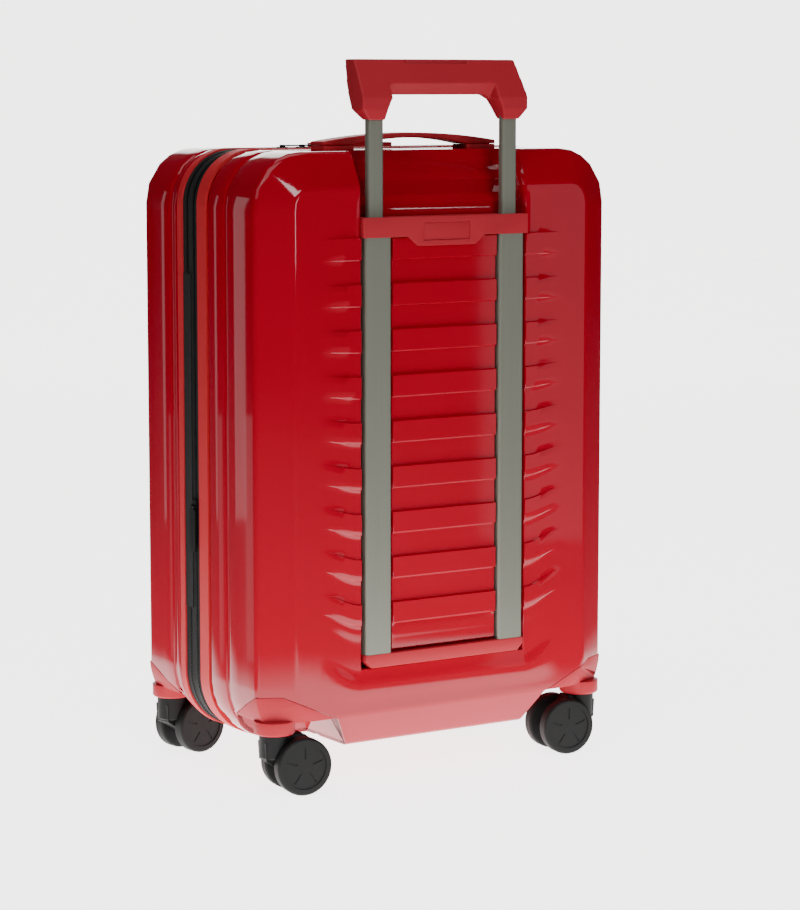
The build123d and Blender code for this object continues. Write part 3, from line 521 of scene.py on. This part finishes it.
def face_columns(stops):
    """Stations across the face, mirrored about the middle, 5 mm apart at most."""
    mirrored = sorted({-s for s in stops} | set(stops))
    return spread(mirrored, 5.0)


def make_back_shell():
    """The back half: ribs, tube slots, seats of the bezel and base bar, and the corner wells."""
    edges = []
    for side, way in ((slot_inner, -1), (slot_outer, 1)):
        edges += [side + way * d for d in lip_steps]
    edges += [slot_outer + 0.8 + d for d in (0.8, 0.4, 0.0, -0.15)]        # beside the bezel
    columns = face_columns(edges + [0.0, 100.0, 108.0, 118.0, rib_reach, 133.0, 144.0])
    stops = [case_belly + plate_inset, case_top - plate_inset, *rib_start]
    stops += [76.0, 78.5, 88.0, 93.5, 96.5, 126.0, 136.0]      # ends of the steps under the base bar
    for high, low in rib_lines():
        chamfer = rib_chamfer(high)
        stops += [low, low + chamfer / 3, low + chamfer * 2 / 3, low + chamfer]
        stops += [high - 1.0, high - 0.66, high - 0.33, high]
    for seat in (bar_recess_low, bezel_recess_low):
        stops += [seat - d for d in lip_steps]
    stops += [bar_recess_top + d for d in (0.0, 0.15)]
    rows = spread(sorted(stops), 6.0)
    piece = shell("back_shell_skin", back_relief, -1.0, -17.6, columns, rows)
    notch = prism("notch", [(-slot_outer - 1, bezel_top - 2), (slot_outer + 1, bezel_top - 2),
                            (slot_outer + 1, 600), (-slot_outer - 1, 600)], -150, -77.5, "Y")
    cut(piece, notch, well_cutter(-1, -1), well_cutter(1, -1))
    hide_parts("back_shell")
    shade(piece, 40)
    return belong(piece, "back_half")


def make_pocket_tray():
    """The stepped well that the grip drops into, open at the top and the back."""
    wide = slot_outer + 4.0
    low, top = tray_floor, case_top - 0.1
    # (y, z) outlines: the block that fills the pocket, and the steps that are cut out of it
    body = [(-111.3, low), (-75.4, low), (-75.4, top), (-96.2, top), (-111.3, 515.6)]
    tray = prism("pocket_tray", body, -wide, wide, "X", gloss_red)
    steps = [(-150, low - 5), (-95.6, low - 5), (-95.6, 499), (-94.8, 500.6), (-86.6, 506.2), (-85.6, 508),
             (-85.6, 518.5), (-84.8, 520.6), (-79.4, 525.2), (-78.5, 527.2), (-78.5, 600), (-150, 600)]
    cut(tray, prism("steps", steps, -slot_outer - 0.8, slot_outer + 0.8, "X"))
    return belong(tray, "back_half")


def make_front_shell():
    """The front half: the same outline with ribs right across."""
    stops = [case_belly + plate_inset, case_top - plate_inset, *rib_start]
    for high, low in rib_lines():
        chamfer = rib_chamfer(high)
        stops += [low, low + chamfer / 2, low + chamfer, high - 1.0, high - 0.5, high]
    rows = spread(sorted(stops), 6.0)
    columns = face_columns([0.0, 85.0, 104.0, 112.0, 119.0, rib_reach, 133.0, 144.0])
    piece = shell("front_shell_skin", front_relief, -27.6, -37.3, columns, rows, front=True)
    cut(piece, well_cutter(-1, 1), well_cutter(1, 1))
    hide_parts("front_shell")
    shade(piece, 40)
    return belong(piece, "front_half")


make_pocket_tray()
make_back_shell()
make_front_shell()

# ---------------------------------------------------------------- pieces rounded from the CAD

finishes = {
    "shell": gloss_red, "trim": matte_red, "welt": welt_red, "tape": tape_black, "lining": lining_grey,
    "tube": tube_metal, "black_plastic": matte_black, "caster": caster_grey, "wheel": tyre_black,
    "steel": steel, "webbing": webbing_black,
}
bodies = frame["record"]["behaviour"]["bodies"]
body_of_node = {node: body for body, nodes in bodies.items() for node in nodes}


def copy_of(node, name, flatten=False):
    """A merged copy of a CAD node in its place, on its body; flatten joins the triangles of flat faces."""
    piece = bpy.data.objects.new(name, frame["nodes"][node].data.copy())
    bpy.context.scene.collection.objects.link(piece)
    piece.matrix_world = frame["nodes"][node].matrix_world
    select_only(piece)
    bpy.ops.object.transform_apply(location=True, rotation=True, scale=True)
    bpy.ops.object.mode_set(mode="EDIT")
    bpy.ops.mesh.select_all(action="SELECT")
    bpy.ops.mesh.remove_doubles(threshold=2e-6)
    if flatten:
        bpy.ops.mesh.dissolve_limited(angle_limit=math.radians(1.5))
    bpy.ops.object.mode_set(mode="OBJECT")
    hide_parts(node)
    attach(piece, body_of_node[node])
    return piece


def soften(node, width):
    """The piece with its edges rounded by a bevel."""
    piece = copy_of(node, f"{node}_soft", flatten=True)
    bevel = piece.modifiers.new("round", "BEVEL")
    bevel.width = width * MM
    bevel.segments = 3
    bevel.limit_method = "ANGLE"
    bevel.angle_limit = math.radians(32)
    bevel.harden_normals = False
    triangles = piece.modifiers.new("triangles", "TRIANGULATE")
    triangles.keep_custom_normals = False
    apply_all(piece)
    shade(piece, 40)
    return piece


def melt(node, voxel, passes):
    """The piece with its edges melted round, as a soft-touch grip has them."""
    piece = copy_of(node, f"{node}_melted")
    remesh = piece.modifiers.new("remesh", "REMESH")
    remesh.mode = "VOXEL"
    remesh.voxel_size = voxel * MM
    smooth = piece.modifiers.new("smooth", "SMOOTH")
    smooth.factor = 0.5
    smooth.iterations = passes
    decimate = piece.modifiers.new("decimate", "DECIMATE")
    decimate.ratio = 0.4
    apply_all(piece)
    bpy.ops.object.shade_smooth()
    return piece


melted = {"grip": (0.8, 9), "carry_handle": (0.7, 8)}   # voxel size in millimetres, smoothing passes
rounded = {                             # bevel width in millimetres
    "bezel": 0.7, "base_bar": 0.6, "guard_back_left": 0.8, "guard_back_right": 0.8,
    "guard_front_left": 0.8, "guard_front_right": 0.8, "grip_button": 0.4,
    "carry_brackets": 0.6, "lock_body": 0.8, "lock_release": 0.4, "bezel_plate": 0.3,
}
made_from = {}
for subpart in frame["record"]["subparts"]:
    name = subpart["node"]
    finish = finishes[subpart["material_slot"]]
    frame["nodes"][name].data.materials.clear()
    frame["nodes"][name].data.materials.append(finish)
    if name in rounded or name in melted:
        made_from[name] = melt(name, *melted[name]) if name in melted else soften(name, rounded[name])
        made_from[name].data.materials.clear()
        made_from[name].data.materials.append(finish)


def clear_button_path(grip, gap=0.3, below=4.5, above=4.0):
    """Keeps the melted grip clear of its button all the way down."""
    low, high = lows("grip_button"), highs("grip_button")
    left, right = low.x - gap, high.x + gap
    bottom, top = low.z - below, high.z + above
    cut(grip, prism("button_path", [(left, bottom), (right, bottom), (right, top), (left, top)],
                    low.y - gap, high.y + gap, "Y"))


clear_button_path(made_from["grip"])

# ---------------------------------------------------------------- zip teeth and the fabric hinge


def zip_row(name, plane, body, skip=None):
    """Two staggered rows of teeth round the case at a station on Y; skip is a gap on the left side."""
    verts, faces = [], []
    outline = zip(*outline_points(spacing=tooth_pitch, corner_steps=44))
    for index, (point, normal) in enumerate(outline):
        if skip and point[0] < -half_width + 1 and skip[0] < point[1] < skip[1]:
            continue
        tangent = np.array((-normal[1], normal[0]))
        side = 0.45 if index % 2 else -0.45
        corner = len(verts)
        for out in (-1.1, -0.25):
            for ahead in (-0.55, 0.55):
                for across in (-1.45, 1.45):
                    spot = point + normal * out + tangent * ahead
                    verts.append((spot[0], plane + side + across, spot[1]))
        faces += [tuple(corner + k for k in face) for face in
                  ((0, 1, 3, 2), (4, 6, 7, 5), (0, 4, 5, 1), (2, 3, 7, 6), (0, 2, 6, 4), (1, 5, 7, 3))]
    belong(new_piece(name, verts, faces, matte_black), body)


zip_row("expander_teeth", 8.0, "back_half")
zip_row("main_teeth", 19.5, "band_frame", skip=(hinge_low, hinge_high))


def make_hinge_strip():
    """The smooth fabric that joins the halves down the side, in rows."""
    rows = np.linspace(14.2, 26.6, 26)
    outside, inside = -half_width + 0.15, -half_width + 0.75
    verts = [(x, y, z) for y in rows for x in (outside, inside)
             for z in (hinge_low, hinge_high)]
    faces = [(0, 1, 3, 2)]
    for k in range(len(rows) - 1):
        a, b = 4 * k, 4 * k + 4
        faces += [(a, a + 1, b + 1, b), (a + 1, a + 3, b + 3, b + 1), (a + 3, a + 2, b + 2, b + 3),
                  (a + 2, a, b, b + 2)]
    last = 4 * (len(rows) - 1)
    faces.append((last, last + 2, last + 3, last + 1))
    strip = new_piece("hinge_strip", verts, faces, tape_black)
    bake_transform(strip)


make_hinge_strip()

# ---------------------------------------------------------------- floor, light and camera


eye = Vector((-1.372, -2.181, 0.602))
yaw, pitch = 0.570, 0.127               # of the camera, in radians
look = Vector((math.sin(yaw), math.cos(yaw), 0))          # level line of sight past the case
right = Vector((look.y, -look.x, 0))
middle = (0, 0, 0.3)                    # of the case


def seen_area(tree, place):
    """1 on the part of the floor that the camera looks at, fading to 0 round it."""
    ahead = add(tree, "ShaderNodeVectorMath", {"operation": "DOT_PRODUCT", 1: look}, {0: place})
    across = add(tree, "ShaderNodeVectorMath", {"operation": "DOT_PRODUCT", 1: right}, {0: place})
    ahead, across = ahead.outputs["Value"], across.outputs["Value"]
    near_edge = add(tree, "ShaderNodeMapRange", {"interpolation_type": "SMOOTHSTEP", "From Min": -0.80,
                                                 "From Max": -0.54}, {"Value": ahead})
    reach = add(tree, "ShaderNodeMath", {"operation": "ADD", 1: -eye.dot(look)}, {0: ahead})
    slant = add(tree, "ShaderNodeMath", {"operation": "DIVIDE"}, {0: across, 1: reach.outputs["Value"]})
    off = add(tree, "ShaderNodeMath", {"operation": "ABSOLUTE"}, {0: slant.outputs["Value"]})
    side_edge = add(tree, "ShaderNodeMapRange", {"interpolation_type": "SMOOTHSTEP", "From Min": 0.235,
                                                 "From Max": 0.155}, {"Value": off.outputs["Value"]})
    both = add(tree, "ShaderNodeMath", {"operation": "MULTIPLY"},
               {0: near_edge.outputs["Result"], 1: side_edge.outputs["Result"]})
    return both.outputs["Value"]


def studio_paper():
    """Background paper: pale and glowing where the camera looks, mid grey round that."""
    material, tree, shader, place = finish_material("studio_paper", Roughness=0.95, Specular_IOR_Level=0.1,
                                                    Emission_Color=srgb("#FFFDFC"))
    seen = seen_area(tree, place)
    cloud = add(tree, "ShaderNodeTexNoise", {"Scale": per_metre(500.0), "Detail": 2.0}, {"Vector": place})
    pale = add(tree, "ShaderNodeMix", {"data_type": "RGBA", "A": srgb("#E6E4E4"), "B": srgb("#E8E6E6")},
               {"Factor": cloud.outputs["Fac"]})
    paper = add(tree, "ShaderNodeMix", {"data_type": "RGBA", "A": srgb("#9C9C9C")},
                {"Factor": seen, "B": pale.outputs["Result"]})
    tree.links.new(paper.outputs["Result"], shader.inputs["Base Color"])
    glow = add(tree, "ShaderNodeMath", {"operation": "MULTIPLY", 1: 3.7}, {0: seen})
    tree.links.new(glow.outputs["Value"], shader.inputs["Emission Strength"])
    return material


def make_floor(reach=8.0, sweep_start=3.5, sweep=3.0, top=4.5):
    """A sheet of paper that lies flat round the case and sweeps up far behind it, in metres."""
    profile = [(-reach, 0.0), (sweep_start, 0.0)]
    profile += [(sweep_start + sweep * math.sin(a), sweep - sweep * math.cos(a))
                for a in np.linspace(0, math.pi / 2, 16)[1:]]
    profile.append((sweep_start + sweep, top))
    verts = [tuple((look * ahead + right * across + Vector((0, 0, z))) / MM)
             for ahead, z in profile for across in (-reach, reach)]
    faces = [(2 * k, 2 * k + 1, 2 * k + 3, 2 * k + 2) for k in range(len(profile) - 1)]
    new_piece("floor", verts, faces, studio_paper(), smooth=60)


def make_world():
    """A dark room that is bright only behind the case."""
    world = bpy.data.worlds.new("studio")
    bpy.context.scene.world = world
    world.use_nodes = True
    sky = world.node_tree
    direction = add(sky, "ShaderNodeTexCoord").outputs["Generated"]
    facing = add(sky, "ShaderNodeVectorMath", {"operation": "DOT_PRODUCT", 1: look}, {0: direction})
    behind = add(sky, "ShaderNodeMapRange", {"interpolation_type": "SMOOTHSTEP", "From Min": 0.9,
                                             "From Max": 0.98}, {"Value": facing.outputs["Value"]})
    tone = add(sky, "ShaderNodeMix", {"data_type": "RGBA", "A": (0.04, 0.04, 0.04, 1), "B": (1, 1, 1, 1)},
               {"Factor": behind.outputs["Result"]})
    sky.links.new(tone.outputs["Result"], sky.nodes["Background"].inputs["Color"])


def around(azimuth, elevation, distance):
    """A point round the middle of the case: azimuth from the back face towards +X, in degrees."""
    a, e = math.radians(azimuth), math.radians(elevation)
    out = Vector((math.sin(a) * math.cos(e), -math.cos(a) * math.cos(e), math.sin(e)))
    return Vector(middle) + distance * out


def beside(far_out, sideways, height):
    """A point on the line that the side wall mirrors towards the camera."""
    return Vector((-0.18 - 0.54 * far_out + 0.84 * sideways, 0.84 * far_out + 0.54 * sideways, height))


def soft_box(name, spot, target, size, glow):
    """An area light that looks as bright as glow says, whatever its size."""
    light = bpy.data.lights.new(name, "AREA")
    light.shape = "RECTANGLE"
    light.size, light.size_y = size
    light.energy = glow * math.pi * size[0] * size[1]
    lamp = bpy.data.objects.new(name, light)
    bpy.context.scene.collection.objects.link(lamp)
    lamp.location = spot
    lamp.rotation_euler = (Vector(target) - Vector(spot)).to_track_quat("-Z", "Y").to_euler()


def make_camera():
    lens = bpy.data.cameras.new("camera")
    lens.sensor_width = 36.0
    lens.lens = 114.393
    lens.shift_y = -0.003187
    camera = bpy.data.objects.new("camera", lens)
    bpy.context.scene.collection.objects.link(camera)
    camera.location = eye
    camera.rotation_euler = (math.pi / 2 - pitch, 0, -yaw)
    bpy.context.scene.camera = camera


make_floor()
make_world()
for box in (
    ("key_box", around(-6, 32, 2.6), middle, (0.80, 0.50), 13.5),
    ("key_fill", around(-52, 56, 2.6), middle, (2.0, 1.6), 2.2),
    ("crease_strip", around(11, 6, 2.4), (0, 0, 0.4), (0.22, 0.5), 11.0),
    ("right_card", (0.87, -1.00, 0.39), (0.06, -0.112, 0.35), (0.38, 0.76), 0.75),
    ("wall_card_front", beside(1.5, 0.085, 0.42), (-0.18, 0.07, 0.42), (0.11, 0.84), 0.95),
    ("wall_card_back", beside(0.5, -0.055, 0.13), (-0.18, -0.05, 0.13), (0.085, 0.26), 0.5),
    ("fill_left", around(-75, 35, 2.6), middle, (1.6, 1.2), 1.2),
    ("top_box", (0.2, 0.3, 2.6), middle, (1.6, 1.2), 1.7),
):
    soft_box(*box)
make_camera()
